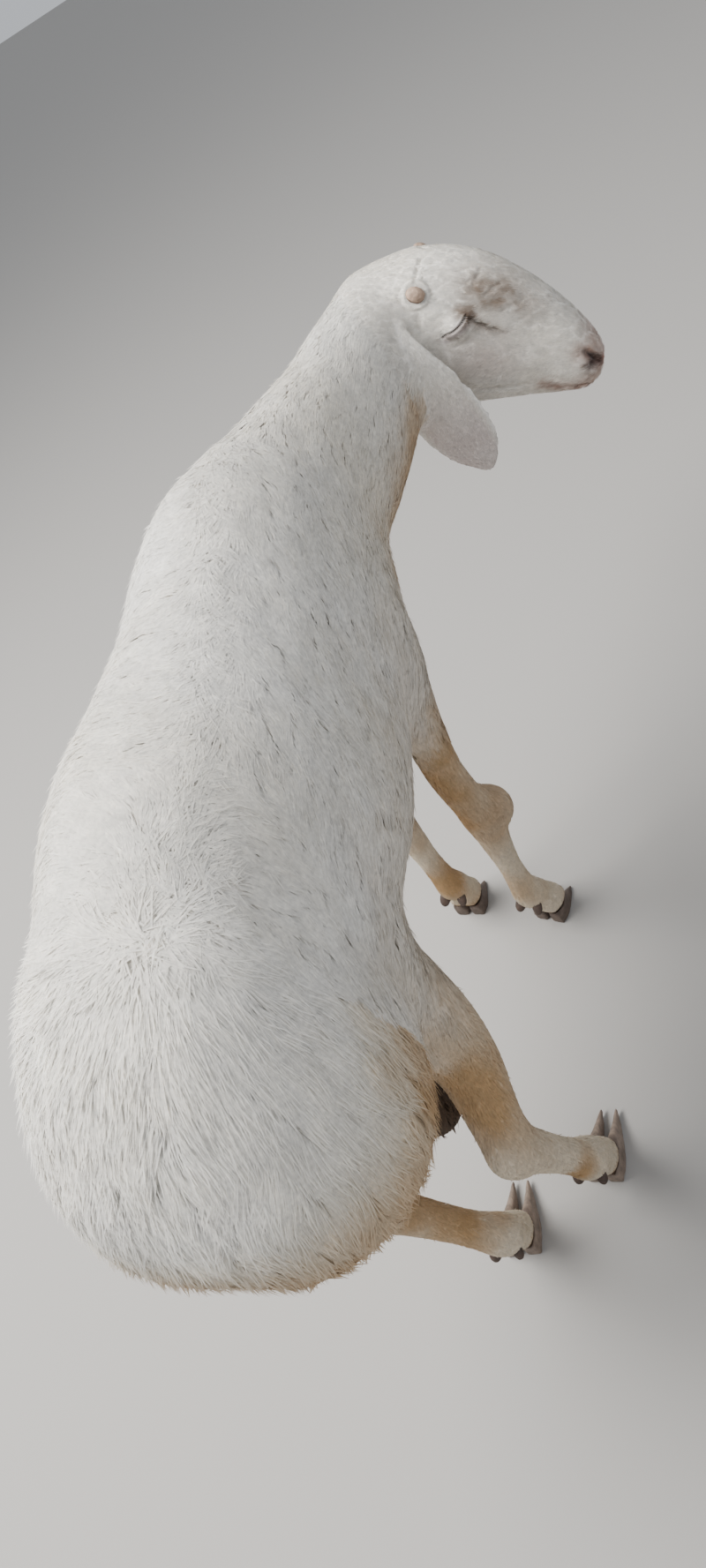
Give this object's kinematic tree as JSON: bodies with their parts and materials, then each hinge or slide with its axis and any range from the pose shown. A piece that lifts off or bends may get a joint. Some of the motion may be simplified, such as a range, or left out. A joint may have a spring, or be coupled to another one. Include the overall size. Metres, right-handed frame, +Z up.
{
  "type": "standing fat-tailed sheep",
  "caption": "Life-size still model of a short-coated fat-tailed ram, standing with its head turned low to its right, on the flat soles of its claws.",
  "frame": {"origin": "floor level under the middle of the bounding box", "axes": "+X towards the animal's front along the body, +Y to the animal's left, +Z up from the floor"},
  "size_m": [1.2232, 0.4568, 0.8867],
  "materials": {
    "short_coat": "short white hair coat",
    "leg_coat": "short tan hair coat",
    "dark_wool": "dark brown wool",
    "hoof_horn": "dark brown hoof horn, worn",
    "bud_horn": "pale tan horn",
    "eye_wet": "wet dark eye"
  },
  "bodies": {
    "root": {"trunk": "short_coat", "neck": "short_coat", "head": "short_coat", "tail": "short_coat", "ear_left": "short_coat", "ear_right": "short_coat", "foreleg_right_upper": "leg_coat", "foreleg_left_upper": "leg_coat", "hindleg_right_upper": "leg_coat", "hindleg_left_upper": "leg_coat", "foreleg_right_lower": "leg_coat", "foreleg_left_lower": "leg_coat", "hindleg_right_lower": "leg_coat", "hindleg_left_lower": "leg_coat", "scrotum": "dark_wool", "eye_left": "eye_wet", "eye_right": "eye_wet", "horn_bud_left": "bud_horn", "horn_bud_right": "bud_horn", "claw_fore_right_right": "hoof_horn", "claw_fore_right_left": "hoof_horn", "claw_fore_left_right": "hoof_horn", "claw_fore_left_left": "hoof_horn", "claw_hind_right_right": "hoof_horn", "claw_hind_right_left": "hoof_horn", "claw_hind_left_right": "hoof_horn", "claw_hind_left_left": "hoof_horn", "dewclaw_fore_right_right": "hoof_horn", "dewclaw_fore_right_left": "hoof_horn", "dewclaw_fore_left_right": "hoof_horn", "dewclaw_fore_left_left": "hoof_horn", "dewclaw_hind_right_right": "hoof_horn", "dewclaw_hind_right_left": "hoof_horn", "dewclaw_hind_left_right": "hoof_horn", "dewclaw_hind_left_left": "hoof_horn"}
  },
  "joints": []
}
